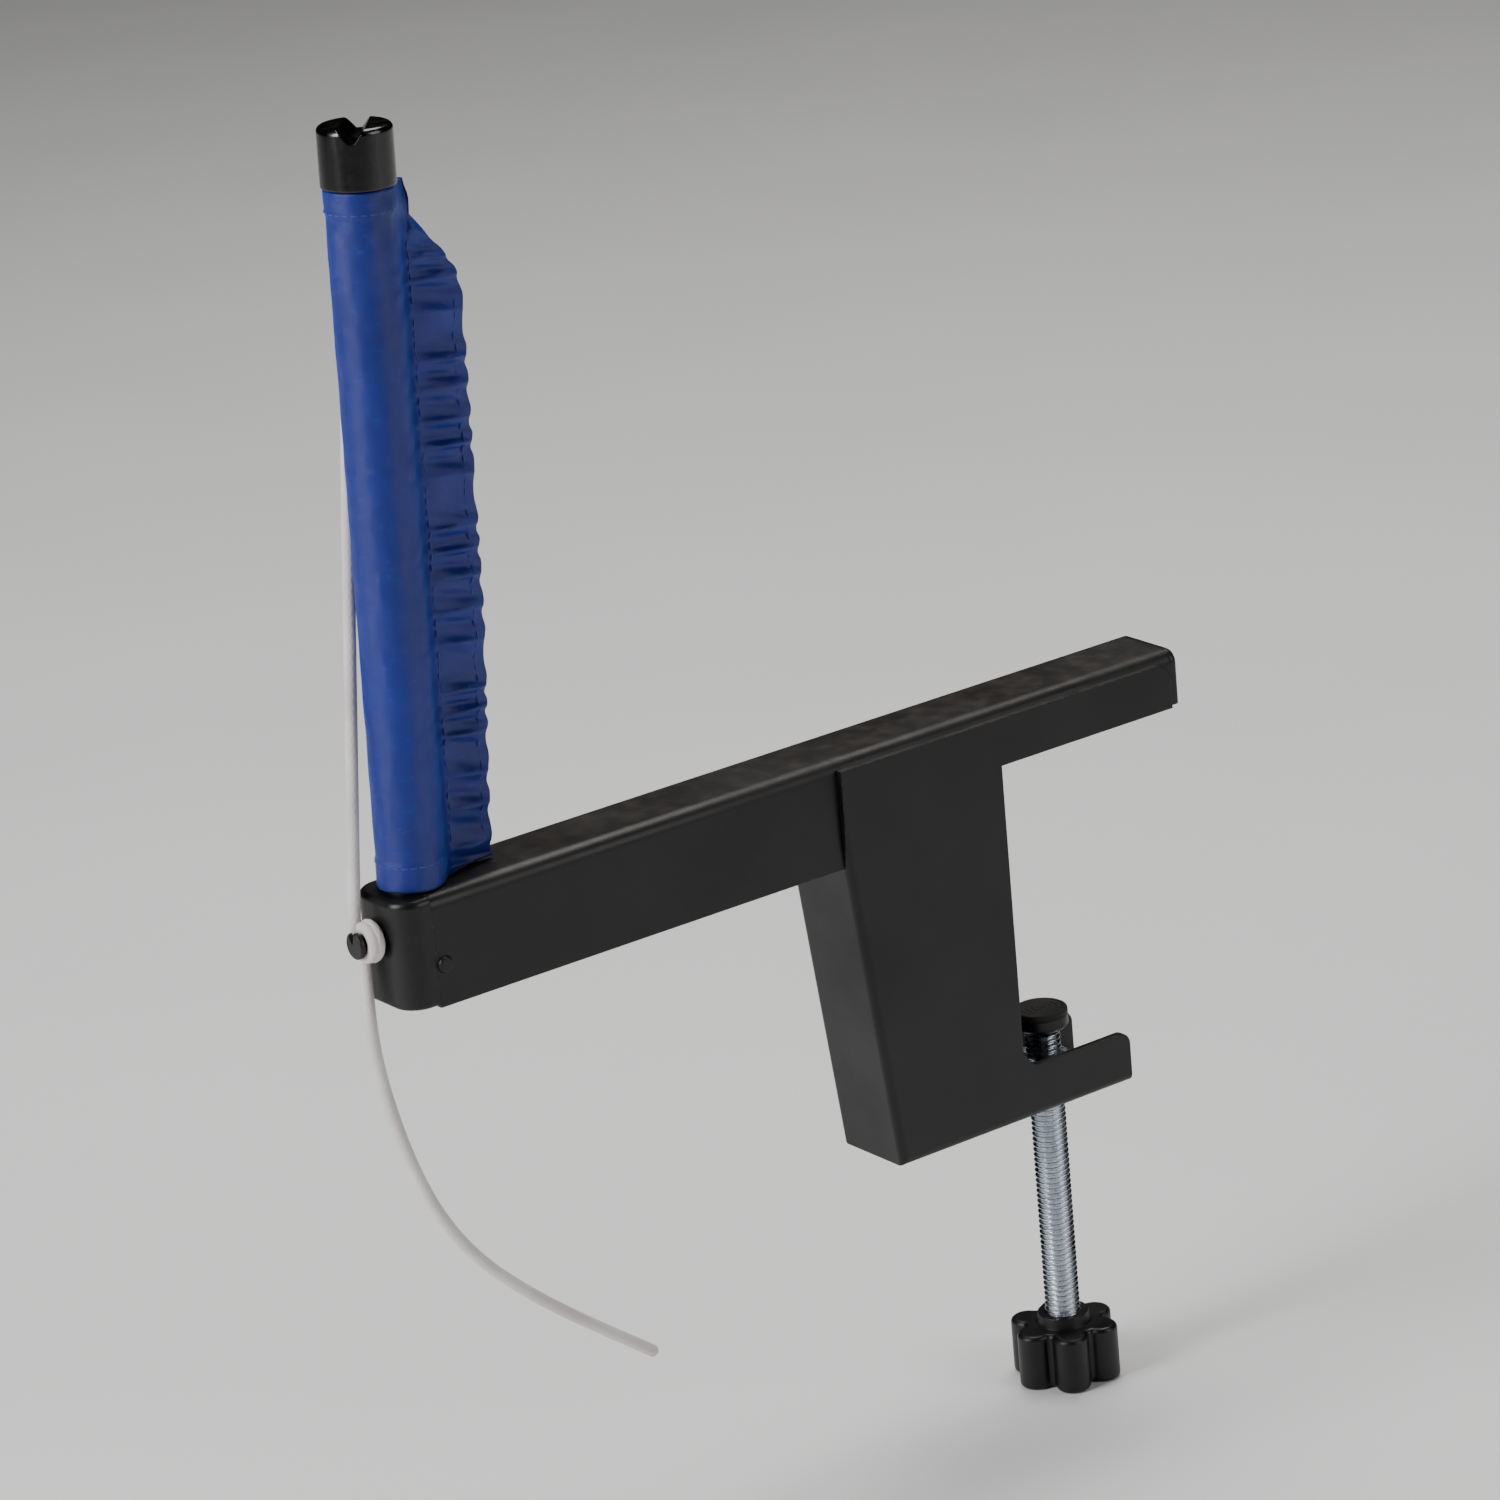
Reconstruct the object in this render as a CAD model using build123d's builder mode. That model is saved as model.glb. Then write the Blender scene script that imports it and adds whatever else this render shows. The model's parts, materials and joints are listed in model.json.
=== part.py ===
from build123d import *
import math
import os

# Table tennis net clamp, millimetres.
# Z is up. The screw's axis is the Z axis, and the origin is on the face of the upper jaw.
# +Y points in over the table, along the net. The net post stands out at -Y.

# ---- driving dimensions ----
sheet = 1.5                 # steel sheet of the arm and of the clamp frame

arm_width = 18.6
arm_top = 13.0
arm_bottom = -11.0
arm_corner = 3.0
arm_outer_end = -161.0      # where the end plug takes over
arm_inner_end = 36.0

throat_back = -14.0         # the clamp frame's edge that meets the table's edge
throat_height = 70.0
jaw_depth = 12.0            # height of the lower jaw's side plates
lower_jaw_end = 16.0
frame_top = 11.2            # top of the side plates that lap the arm
frame_back_top = -57.0
frame_back_bottom = -49.0
throat_corner_radius = 5.0
jaw_tip_radius = 3.0
frame_nose_radius = 4.0
fold_radius = 1.8           # outside radius where the sheet is folded
frame_inner_end = 34.5
pad_lip = 0.6               # how far the upper pad stands below the metal
pad_thick = 3.0             # of the upper pad, inside the channel

post_y = -159.0
post_lean = 2.1             # degrees towards the table
post_radius = 6.3
post_wall = 1.2
post_socket_depth = 20.0
post_length = 151.0         # above the arm's top
cap_radius = 7.6
cap_start = 145.2
cap_top = 157.4
groove_angle = -40.0        # direction of the cap's groove, from +X
groove_half = 3.0           # half the groove's width at the top
groove_floor = 0.6          # half its width at the bottom
groove_depth = 2.6

plug_nose = 7.5             # how far the plug's nose stands past the arm
plug_nose_radius = 5.5
plug_rim_radius = 1.6
plug_foot_radius = 0.8
plug_core = 21.0
plug_gap = 0.5              # from the plug's underside to the arm's
end_plug_flange = 2.0       # thickness of the inner end plug's flange
end_plug_tongue = 9.0

pin_radius = 1.2
pin_head = 1.9
pin_z = -2.0
hole_clearance = 0.05

peg_z = 4.0
peg_neck = 1.6
peg_root = 2.6              # how deep the peg sits in the plug
peg_head = 2.9
peg_head_thick = 1.0
peg_gap = 0.2               # from the cord's turns to the nose and to the head

cord_diameter = 2.6
turns_length = 4.5

screw_radius = 4.0          # M8
nut_bore = 4.05
nut_height = 6.5
nut_flats = 13.0
shoe_radius = 6.0
clamp_gap = 62.3            # from the upper jaw's face down to the pad at rest
facing_thick = 1.5
shoe_thick = 3.1
spigot_radius = 2.5
spigot_collar = 3.2
spigot_clearance = 0.05
screw_head_height = 5.3

knob_top = -138.0
knob_height = 13.0
knob_core = 8.9
knob_hub = 6.2
knob_hub_height = 2.4
knob_rim_radius = 1.1
lobe_count = 6
lobe_radius = 3.9
lobe_centre = 8.6
lobe_valley_radius = 0.8
knob_phase = 30.0

sleeve_inner = 6.36
sleeve_outer = 7.2
sleeve_height = 144.8
sleeve_lift = 0.4           # gap under the sleeve's hem
fin_half = 1.1
fin_outline = [(0, 1.2), (20.0, 1.4), (22.4, 60), (22.6, 124), (8.4, 140.5), (0, 140.5)]
fin_corner = 4.0

os.makedirs("parts", exist_ok=True)

# ---- values worked out from them ----
half_arm = arm_width / 2
half_frame = half_arm + sheet
lower_jaw_top = -throat_height
frame_bottom = lower_jaw_top - jaw_depth
nut_base = frame_bottom + sheet
facing_top = -clamp_gap
shoe_top = facing_top - facing_thick
shoe_bottom = shoe_top - shoe_thick
knob_bottom = knob_top - knob_height
nose_end = arm_outer_end - plug_nose
turns_start = nose_end - peg_gap
turns_end = turns_start - turns_length
head_start = turns_end - peg_gap
lean = math.radians(post_lean)
post_axis = Vector(0, math.sin(lean), math.cos(lean))
post_foot = Vector(0, post_y, arm_top)


def post_plane(height):
    """Plane across the leaning post, at a height along its axis above the arm's top."""
    return Plane(origin=post_foot + post_axis * height, x_dir=(1, 0, 0), z_dir=post_axis)


def save(builder, name):
    """Label a finished piece and write it to its own STEP file."""
    builder.part.label = name
    export_step(builder.part, f"parts/{name}.step")
    print(f"{name:18s} {builder.part.volume:10.1f} mm3")


# ---- arm: an inverted channel, cut back where it lies over the table ----
with BuildPart() as arm_channel:
    with BuildSketch(Plane.XZ.offset(-arm_inner_end)):
        with Locations((0, (arm_top + arm_bottom) / 2)):
            Rectangle(arm_width, arm_top - arm_bottom)
    extrude(amount=arm_inner_end - arm_outer_end)
    top_edges = arm_channel.edges().filter_by(Axis.Y).group_by(Axis.Z)[-1]
    fillet(top_edges, arm_corner)
    with BuildSketch(Plane.XZ.offset(-arm_inner_end)) as hollow:
        with Locations((0, (arm_top - sheet + arm_bottom) / 2)):
            Rectangle(arm_width - 2 * sheet, arm_top - sheet - arm_bottom)
        fillet(hollow.vertices().group_by(Axis.Y)[-1], arm_corner - sheet)
    extrude(amount=arm_inner_end - arm_outer_end, mode=Mode.SUBTRACT)
    with BuildSketch(Plane.YZ.offset(-half_arm)):
        with BuildLine():
            Polyline(
                (throat_back - 1, arm_bottom - 1),
                (throat_back - 1, pad_lip),
                (arm_inner_end + 1, pad_lip),
                (arm_inner_end + 1, arm_bottom - 1),
                close=True,
            )
        make_face()
    extrude(amount=arm_width, mode=Mode.SUBTRACT)
    with BuildSketch(Plane.XY.offset(arm_top - 2 * sheet)):
        with Locations((0, post_y)):
            Circle(post_radius + 0.5)
        with Locations((0, (post_y + arm_outer_end) / 2 - 5)):
            Rectangle(2 * post_radius + 1, post_y - arm_outer_end + 10)
    extrude(amount=2 * sheet + 1, mode=Mode.SUBTRACT)
    with BuildSketch(Plane.YZ.offset(-half_arm - 1)):
        with Locations((post_y, pin_z)):
            Circle(pin_radius + hole_clearance)
    extrude(amount=arm_width + 2, mode=Mode.SUBTRACT)
save(arm_channel, "arm_channel")

# ---- inner end plug, closing the channel over the table ----
with BuildPart() as inner_end_plug:
    with BuildSketch(Plane.XZ.offset(-arm_inner_end)) as tongue:
        with Locations((0, (arm_top - sheet + pad_lip + pad_thick) / 2)):
            Rectangle(arm_width - 2 * sheet, arm_top - sheet - pad_lip - pad_thick)
        fillet(tongue.vertices().group_by(Axis.Y)[-1], arm_corner - sheet)
    extrude(amount=end_plug_tongue)
    with BuildSketch(Plane.XZ.offset(-arm_inner_end)) as flange:
        with Locations((0, (arm_top + pad_lip) / 2)):
            Rectangle(arm_width, arm_top - pad_lip)
        fillet(flange.vertices().group_by(Axis.Y)[-1], arm_corner)
    extrude(amount=-end_plug_flange)
    fillet(inner_end_plug.faces().sort_by(Axis.Y)[-1].edges().group_by(Axis.Z)[-1], 1.2)
save(inner_end_plug, "inner_end_plug")

# ---- upper pad: a soft strip that fills the channel and meets the table ----
with BuildPart() as upper_jaw_pad:
    with BuildSketch(Plane.XY):
        with Locations((0, (throat_back + 0.5 + arm_inner_end - 1) / 2)):
            Rectangle(arm_width - 2 * sheet, arm_inner_end - 1 - throat_back - 0.5)
    extrude(amount=pad_thick + pad_lip)
    fillet(upper_jaw_pad.edges().filter_by(Axis.Z), 1.5)
save(upper_jaw_pad, "upper_jaw_pad")

# ---- clamp frame: folded sheet of U section, bent round the throat as a C ----
with BuildPart() as clamp_frame:
    with BuildSketch(Plane.YZ.offset(-half_frame)):
        with BuildLine():
            Polyline(
                (frame_back_top, frame_top),
                (frame_inner_end, frame_top),
                (frame_inner_end, pad_lip),
                (throat_back, pad_lip),
                (throat_back, lower_jaw_top),
                (lower_jaw_end, lower_jaw_top),
                (lower_jaw_end, frame_bottom),
                (frame_back_bottom, frame_bottom),
                (frame_back_top, arm_bottom),
                close=True,
            )
        make_face()
    extrude(amount=2 * half_frame)
    ends = clamp_frame.edges().filter_by(Axis.X)
    nose_edges = ends.filter_by_position(Axis.Y, frame_inner_end - 0.1, frame_inner_end + 0.1)
    fillet(nose_edges.sort_by(Axis.Z)[-1], frame_nose_radius)
    ends = clamp_frame.edges().filter_by(Axis.X)
    throat_corner = ends.filter_by_position(Axis.Y, throat_back - 0.1, throat_back + 0.1)
    fillet(throat_corner.sort_by(Axis.Z)[0], throat_corner_radius)
    ends = clamp_frame.edges().filter_by(Axis.X)
    jaw_tip = ends.filter_by_position(Axis.Y, lower_jaw_end - 0.1, lower_jaw_end + 0.1)
    fillet(jaw_tip.sort_by(Axis.Z)[-1], jaw_tip_radius)
    outer_folds = clamp_frame.faces().sort_by(Axis.Z)[0].edges().filter_by(Axis.Y)
    outward = clamp_frame.faces().filter_by(lambda f: f.normal_at().Y < -0.9)
    back_face = outward.filter_by(lambda f: f.center().Z < arm_bottom)[0]
    back_folds = back_face.edges().filter_by(lambda e: abs(e.tangent_at().X) < 0.1)
    fillet(outer_folds + back_folds, fold_radius)
    with BuildSketch(Plane.YZ.offset(-half_arm)):
        with BuildLine():
            Polyline(
                (frame_back_top - 5, frame_top + 5),
                (arm_inner_end + 5, frame_top + 5),
                (arm_inner_end + 5, nut_base),
                (frame_back_bottom + sheet, nut_base),
                (frame_back_top + sheet, arm_bottom),
                (frame_back_top - 5, arm_bottom),
                close=True,
            )
        make_face()
    extrude(amount=arm_width, mode=Mode.SUBTRACT)
    with BuildSketch(Plane.XY.offset(frame_bottom - 1)):
        Circle(screw_radius + 0.4)
    extrude(amount=sheet + 2, mode=Mode.SUBTRACT)
save(clamp_frame, "clamp_frame")

# ---- weld nut inside the lower jaw ----
with BuildPart() as weld_nut:
    with BuildSketch(Plane.XY.offset(nut_base)):
        RegularPolygon(radius=nut_flats / 2, side_count=6, major_radius=False)
    extrude(amount=nut_height)
    with BuildSketch(Plane.XY.offset(nut_base)):
        Circle(nut_bore)
    extrude(amount=nut_height, mode=Mode.SUBTRACT)
    chamfer(weld_nut.faces().sort_by(Axis.Z)[-1].edges().filter_by(GeomType.CIRCLE), 0.8)
save(weld_nut, "weld_nut")

# ---- clamp screw: M8, with its hex head held in the knob and a spigot for the shoe ----
with BuildPart() as clamp_screw:
    with BuildSketch(Plane.XY.offset(knob_bottom + screw_head_height)):
        Circle(screw_radius)
    extrude(amount=shoe_bottom - 0.3 - knob_bottom - screw_head_height)
    chamfer(clamp_screw.faces().sort_by(Axis.Z)[-1].edges(), 0.9)
    with BuildSketch(Plane.XY.offset(knob_bottom)):
        RegularPolygon(radius=nut_flats / 2, side_count=6, major_radius=False)
    extrude(amount=screw_head_height)
    with BuildSketch(Plane.XY.offset(shoe_bottom - 0.5)):
        Circle(spigot_radius)
    extrude(amount=2.0)
    with BuildSketch(Plane.XY.offset(shoe_bottom + 1.5)):
        Circle(spigot_collar)
    extrude(amount=1.0)
save(clamp_screw, "clamp_screw")

# ---- shoe that swivels on the screw's spigot, and its soft facing ----
with BuildPart() as pad_shoe:
    with BuildSketch(Plane.XY.offset(shoe_bottom)):
        Circle(shoe_radius)
    extrude(amount=shoe_thick)
    chamfer(pad_shoe.faces().sort_by(Axis.Z)[0].edges(), 0.8)
    with BuildSketch(Plane.XY.offset(shoe_bottom)):
        Circle(spigot_radius + spigot_clearance)
    extrude(amount=shoe_thick, mode=Mode.SUBTRACT)
    with BuildSketch(Plane.XY.offset(shoe_bottom + 1.4)):
        Circle(spigot_collar + spigot_clearance)
    extrude(amount=shoe_thick, mode=Mode.SUBTRACT)
save(pad_shoe, "pad_shoe")

with BuildPart() as pad_facing:
    with BuildSketch(Plane.XY.offset(shoe_top)):
        Circle(shoe_radius)
    extrude(amount=facing_thick)
    fillet(pad_facing.faces().sort_by(Axis.Z)[-1].edges(), 0.6)
save(pad_facing, "pad_facing")

# ---- knob: a lobed star on a hub ----
with BuildPart() as clamp_knob:
    with BuildSketch(Plane.XY.offset(knob_bottom)) as star:
        Circle(knob_core)
        with PolarLocations(lobe_centre, lobe_count, start_angle=knob_phase):
            Circle(lobe_radius)
        fillet(star.vertices(), lobe_valley_radius)
    extrude(amount=knob_height)
    ends = clamp_knob.faces().sort_by(Axis.Z)
    fillet(ends[0].edges() + ends[-1].edges(), knob_rim_radius)
    with BuildSketch(Plane.XY.offset(knob_top)):
        Circle(knob_hub)
    extrude(amount=knob_hub_height, taper=12)
    with BuildSketch(Plane.XY.offset(knob_bottom)):
        RegularPolygon(radius=nut_flats / 2, side_count=6, major_radius=False)
    extrude(amount=screw_head_height, mode=Mode.SUBTRACT)
    with BuildSketch(Plane.XY.offset(knob_bottom)):
        Circle(screw_radius)
    extrude(amount=knob_height + 5, mode=Mode.SUBTRACT)
save(clamp_knob, "clamp_knob")

# ---- outer end plug: a moulded nose and a core with the post's socket ----
with BuildPart() as outer_end_plug:
    with BuildSketch(Plane.XY.offset(arm_bottom + plug_gap)) as nose:
        with Locations((0, arm_outer_end - plug_nose / 2)):
            Rectangle(arm_width, plug_nose)
        fillet(nose.vertices().group_by(Axis.Y)[0], plug_nose_radius)
    extrude(amount=arm_top - arm_bottom - plug_gap)
    nose_rim = outer_end_plug.faces().sort_by(Axis.Z)[-1].edges()
    fillet(nose_rim.filter_by(lambda e: e.center().Y < arm_outer_end - 0.01), plug_rim_radius)
    nose_foot = outer_end_plug.faces().sort_by(Axis.Z)[0].edges()
    fillet(nose_foot.filter_by(lambda e: e.center().Y < arm_outer_end - 0.01), plug_foot_radius)
    with BuildSketch(Plane.XZ.offset(-arm_outer_end)) as core:
        with Locations((0, (arm_top - sheet + arm_bottom + 2 * plug_gap) / 2)):
            Rectangle(arm_width - 2 * sheet, arm_top - sheet - arm_bottom - 2 * plug_gap)
        fillet(core.vertices().group_by(Axis.Y)[-1], arm_corner - sheet)
    extrude(amount=-plug_core)
    with BuildSketch(post_plane(-post_socket_depth)):
        Circle(post_radius + hole_clearance)
    extrude(amount=post_socket_depth + 5, mode=Mode.SUBTRACT)
    with BuildSketch(Plane.YZ.offset(-half_arm)):
        with Locations((post_y, pin_z)):
            Circle(pin_radius + hole_clearance)
    extrude(amount=arm_width, mode=Mode.SUBTRACT)
    with BuildSketch(Plane.XZ.offset(-nose_end)):
        with Locations((0, peg_z)):
            Circle(peg_neck + 0.02)
    extrude(amount=-peg_root, mode=Mode.SUBTRACT)
save(outer_end_plug, "outer_end_plug")

# ---- net post: a tube that stands in the plug's socket ----
with BuildPart() as post_tube:
    with BuildSketch(post_plane(-post_socket_depth)):
        Circle(post_radius)
        Circle(post_radius - post_wall, mode=Mode.SUBTRACT)
    extrude(amount=post_socket_depth + post_length)
    with BuildSketch(Plane.YZ.offset(-half_arm)):
        with Locations((post_y, pin_z)):
            Circle(pin_radius + hole_clearance)
    extrude(amount=arm_width, mode=Mode.SUBTRACT)
save(post_tube, "post_tube")

# ---- rivet that pins the arm, the plug and the post's foot together ----
with BuildPart() as post_rivet:
    with BuildSketch(Plane.YZ.offset(-half_arm)):
        with Locations((post_y, pin_z)):
            Circle(pin_radius)
    extrude(amount=arm_width)
    for side in (-1, 1):
        with BuildSketch(Plane.YZ.offset(side * half_arm)):
            with Locations((post_y, pin_z)):
                Circle(pin_head)
        extrude(amount=side * 0.7, taper=30)
save(post_rivet, "post_rivet")

# ---- post cap, with a groove across its top for the cord ----
with BuildPart() as post_cap:
    with BuildSketch(post_plane(cap_start)):
        Circle(cap_radius)
    extrude(amount=cap_top - cap_start)
    fillet(post_cap.edges().sort_by(Axis.Z)[-1], 1.2)
    with BuildSketch(post_plane(cap_start)):
        Circle(post_radius + hole_clearance)
    extrude(amount=post_length - cap_start, mode=Mode.SUBTRACT)
    turn = math.radians(groove_angle)
    along = Vector(math.cos(turn), math.sin(turn), 0)
    groove = Plane(origin=post_foot + post_axis * cap_top, x_dir=(-along.Y, along.X, 0), z_dir=along)
    with BuildSketch(groove.offset(-cap_radius - 1)):
        with BuildLine():
            Polyline(
                (-groove_half, 0.4),
                (-groove_floor, -groove_depth),
                (groove_floor, -groove_depth),
                (groove_half, 0.4),
                close=True,
            )
        make_face()
    extrude(amount=2 * cap_radius + 2, mode=Mode.SUBTRACT)
save(post_cap, "post_cap")

# ---- peg that the cord is wound on ----
with BuildPart() as cord_peg:
    with BuildSketch(Plane.XZ.offset(-nose_end - peg_root)):
        with Locations((0, peg_z)):
            Circle(peg_neck)
    extrude(amount=peg_root + nose_end - head_start)
    with BuildSketch(Plane.XZ.offset(-head_start)):
        with Locations((0, peg_z)):
            Circle(peg_head)
    extrude(amount=peg_head_thick)
    fillet(cord_peg.faces().sort_by(Axis.Y)[0].edges(), 0.4)
    with BuildSketch(Plane.XZ.offset(-head_start)):
        with BuildLine():
            Polyline((-2.4, peg_z + 4), (-0.8, peg_z + 0.4), (-0.2, peg_z + 0.4), (0.6, peg_z + 4))
            Line((0.6, peg_z + 4), (-2.4, peg_z + 4))
        make_face()
    extrude(amount=peg_head_thick, mode=Mode.SUBTRACT)
save(cord_peg, "cord_peg")

# ---- net sleeve: soft cover round the post, with a sewn fin that holds the net's edge ----
with BuildPart() as net_sleeve:
    with BuildSketch(post_plane(sleeve_lift)):
        Circle(sleeve_outer)
    extrude(amount=sleeve_height - sleeve_lift)
    fin_plane = Plane(origin=post_foot, x_dir=(0, math.cos(lean), -math.sin(lean)), z_dir=(1, 0, 0))
    with BuildSketch(fin_plane.offset(-fin_half)) as fin:
        with BuildLine():
            Polyline(*fin_outline, close=True)
        make_face()
        fillet(fin.vertices().sort_by(Axis.X)[-1], fin_corner)
    extrude(amount=2 * fin_half)
    with BuildSketch(post_plane(0)):
        Circle(sleeve_inner)
    extrude(amount=sleeve_height + 1, mode=Mode.SUBTRACT)
save(net_sleeve, "net_sleeve")


# ---- tension cord: a tight run down to the peg, the turns on it, and a free tail ----
def rounded_path(points):
    """Straight runs joined by tangent arcs, each as large as its two runs allow."""
    runs = [Vector(b) - Vector(a) for a, b in zip(points, points[1:])]
    radii = []
    for before, after in zip(runs, runs[1:]):
        half_turn = math.radians(before.get_angle(after) / 2)
        radii.append(0.45 * min(before.length, after.length) / math.tan(half_turn))
    print("cord radii", [round(r, 1) for r in radii], "runs", [round(r.length, 1) for r in runs])
    return FilletPolyline(*points, radius=radii)


def check_cord(tube, path):
    """Print the cord's length, and its volume against its section times its length."""
    length = path.wire().length
    section = math.pi * cord_diameter ** 2 / 4
    print(f"length {length:.1f} mm, volume ratio {tube.part.volume / (section * length):.4f}")


run_points = [
    (-7.4, -151.2, 152.0),
    (-10.3, -152.6, 141.0),
    (-2.9, -171.5, 6.0),
]
tail_points = [
    (-1.2, -169.9, 0.6),
    (-1.9, -171.4, -10.0),
    (-2.1, -170.8, -22.0),
    (-1.6, -169.0, -34.0),
    (-0.8, -165.6, -48.0),
    (0.3, -160.8, -60.6),
    (1.9, -153.8, -71.6),
    (3.7, -144.8, -80.8),
    (5.3, -135.4, -88.8),
    (6.6, -125.6, -96.4),
    (7.6, -115.8, -103.8),
]

with BuildPart() as cord_run:
    with BuildLine() as run_path:
        rounded_path(run_points)
    with BuildSketch(Plane(origin=run_path.wire() @ 0, z_dir=run_path.wire() % 0)):
        Circle(cord_diameter / 2)
    sweep()
save(cord_run, "cord_run")
check_cord(cord_run, run_path)

with BuildPart() as cord_turns:
    with BuildSketch(Plane.XZ.offset(-turns_start)):
        with Locations((0, peg_z)):
            Circle(peg_neck + cord_diameter)
            Circle(peg_neck + 0.05, mode=Mode.SUBTRACT)
    extrude(amount=turns_length)
    fillet(cord_turns.edges().filter_by(GeomType.CIRCLE).filter_by(lambda e: e.radius > 3), 1.2)
save(cord_turns, "cord_turns")

with BuildPart() as cord_tail:
    with BuildLine() as tail_path:
        rounded_path(tail_points)
    with BuildSketch(Plane(origin=tail_path.wire() @ 0, z_dir=tail_path.wire() % 0)):
        Circle(cord_diameter / 2)
    sweep()
save(cord_tail, "cord_tail")
check_cord(cord_tail, tail_path)
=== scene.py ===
"""Table tennis net clamp: looks, floor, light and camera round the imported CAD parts. Metres."""

import json
import math

import bpy
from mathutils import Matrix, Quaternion, Vector, noise


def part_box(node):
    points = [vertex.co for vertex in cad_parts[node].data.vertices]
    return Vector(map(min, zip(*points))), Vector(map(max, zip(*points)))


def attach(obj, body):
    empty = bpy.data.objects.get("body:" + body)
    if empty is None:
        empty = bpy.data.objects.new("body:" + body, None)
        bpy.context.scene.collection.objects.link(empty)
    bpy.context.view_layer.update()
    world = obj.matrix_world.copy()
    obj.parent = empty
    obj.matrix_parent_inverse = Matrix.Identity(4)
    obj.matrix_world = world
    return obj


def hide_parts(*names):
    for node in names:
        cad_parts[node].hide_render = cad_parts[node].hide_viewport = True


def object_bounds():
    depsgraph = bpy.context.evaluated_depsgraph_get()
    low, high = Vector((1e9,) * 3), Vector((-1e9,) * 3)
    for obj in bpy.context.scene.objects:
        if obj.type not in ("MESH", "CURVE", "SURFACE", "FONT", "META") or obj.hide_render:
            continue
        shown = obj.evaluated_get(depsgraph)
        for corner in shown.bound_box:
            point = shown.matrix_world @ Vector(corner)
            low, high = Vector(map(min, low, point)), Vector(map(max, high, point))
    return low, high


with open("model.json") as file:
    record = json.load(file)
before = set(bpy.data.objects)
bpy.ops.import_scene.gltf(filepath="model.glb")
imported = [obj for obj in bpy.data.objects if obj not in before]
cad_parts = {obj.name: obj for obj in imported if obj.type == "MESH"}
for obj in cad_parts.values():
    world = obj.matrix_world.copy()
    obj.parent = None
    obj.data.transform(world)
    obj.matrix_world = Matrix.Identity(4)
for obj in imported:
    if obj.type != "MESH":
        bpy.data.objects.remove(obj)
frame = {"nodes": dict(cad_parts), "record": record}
cad_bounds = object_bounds()
nodes = frame["nodes"]
MM = 0.001


# ---- camera ----
def add_camera():
    """A long lens at the photograph's viewing angle, aimed at the middle of the clamp."""
    place = Vector((1.0061, -0.7879, 0.4428))
    aim = Vector((-0.0050, -0.0686, 0.0158))
    roll = math.radians(-5.13)
    data = bpy.data.cameras.new("camera")
    data.lens = 149
    data.sensor_width = 36
    camera = bpy.data.objects.new("camera", data)
    camera.location = place
    camera.rotation_mode = "QUATERNION"
    turned = (aim - place).to_track_quat("-Z", "Y")
    camera.rotation_quaternion = turned @ Quaternion((0, 0, 1), roll)
    bpy.context.scene.collection.objects.link(camera)
    bpy.context.scene.camera = camera


add_camera()


# ---- mesh helpers ----
def new_piece(name, points, faces, smooth=True):
    """A mesh object from lists of points and faces."""
    mesh = bpy.data.meshes.new(name)
    mesh.from_pydata([tuple(p) for p in points], [], faces)
    mesh.validate()
    mesh.polygons.foreach_set("use_smooth", [smooth] * len(mesh.polygons))
    piece = bpy.data.objects.new(name, mesh)
    bpy.context.scene.collection.objects.link(piece)
    return piece


def loft(rings):
    """Points and faces of a closed skin through rings of equal length, with flat ends."""
    count = len(rings[0])
    points = [p for ring in rings for p in ring]
    faces = []
    for i in range(len(rings) - 1):
        for j in range(count):
            k = (j + 1) % count
            faces.append((i * count + j, i * count + k, (i + 1) * count + k, (i + 1) * count + j))
    last = (len(rings) - 1) * count
    faces.append(tuple(range(count - 1, -1, -1)))
    faces.append(tuple(range(last, last + count)))
    return points, faces


def merge(parts):
    """Several (points, faces) lists as one."""
    points, faces = [], []
    for more_points, more_faces in parts:
        start = len(points)
        points.extend(more_points)
        faces.extend([tuple(i + start for i in face) for face in more_faces])
    return points, faces


def smoothstep(a, b, x):
    t = min(max((x - a) / (b - a), 0.0), 1.0)
    return t * t * (3 - 2 * t)


# ---- cord: one spline from the sleeve's top, round the peg, to its bare end ----
cord_radius = 1.3 * MM
cord_spacing = 0.3 * MM     # between the rings of the braided tube
end_pull = 0.9              # of a radius: how near the turns' ends the cord's middle comes
turn_growth = 0.45 * MM     # how much wider the last turn is than the first
run_points = [(-7.4, -151.2, 152.0), (-10.3, -152.6, 141.0), (-2.9, -171.5, 6.0)]
tail_points = [
    (-1.2, -169.9, 0.6),
    (-1.9, -171.4, -10.0),
    (-2.1, -170.8, -22.0),
    (-1.6, -169.0, -34.0),
    (-0.8, -165.6, -48.0),
    (0.3, -160.8, -60.6),
    (1.9, -153.8, -71.6),
    (3.7, -144.8, -80.8),
    (5.3, -135.4, -88.8),
    (6.6, -125.6, -96.4),
    (7.6, -115.8, -103.8),
]


def peg_turns():
    """Control points of the turns that the cord makes on its peg."""
    low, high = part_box("cord_turns")
    middle = (low + high) / 2
    wound = (high.x - low.x) / 2 - cord_radius
    turns, steps = 2, 12
    first_y = low.y + end_pull * cord_radius
    last_y = high.y - end_pull * cord_radius
    count = turns * steps
    points = []
    for i in range(1, count):
        share = i / count
        angle = math.pi + math.tau * i / steps
        reach = wound / math.cos(math.pi / steps) + turn_growth * share
        y = first_y + (last_y - first_y) * share
        points.append((middle.x + reach * math.cos(angle), y, middle.z + reach * math.sin(angle)))
    return points


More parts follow.
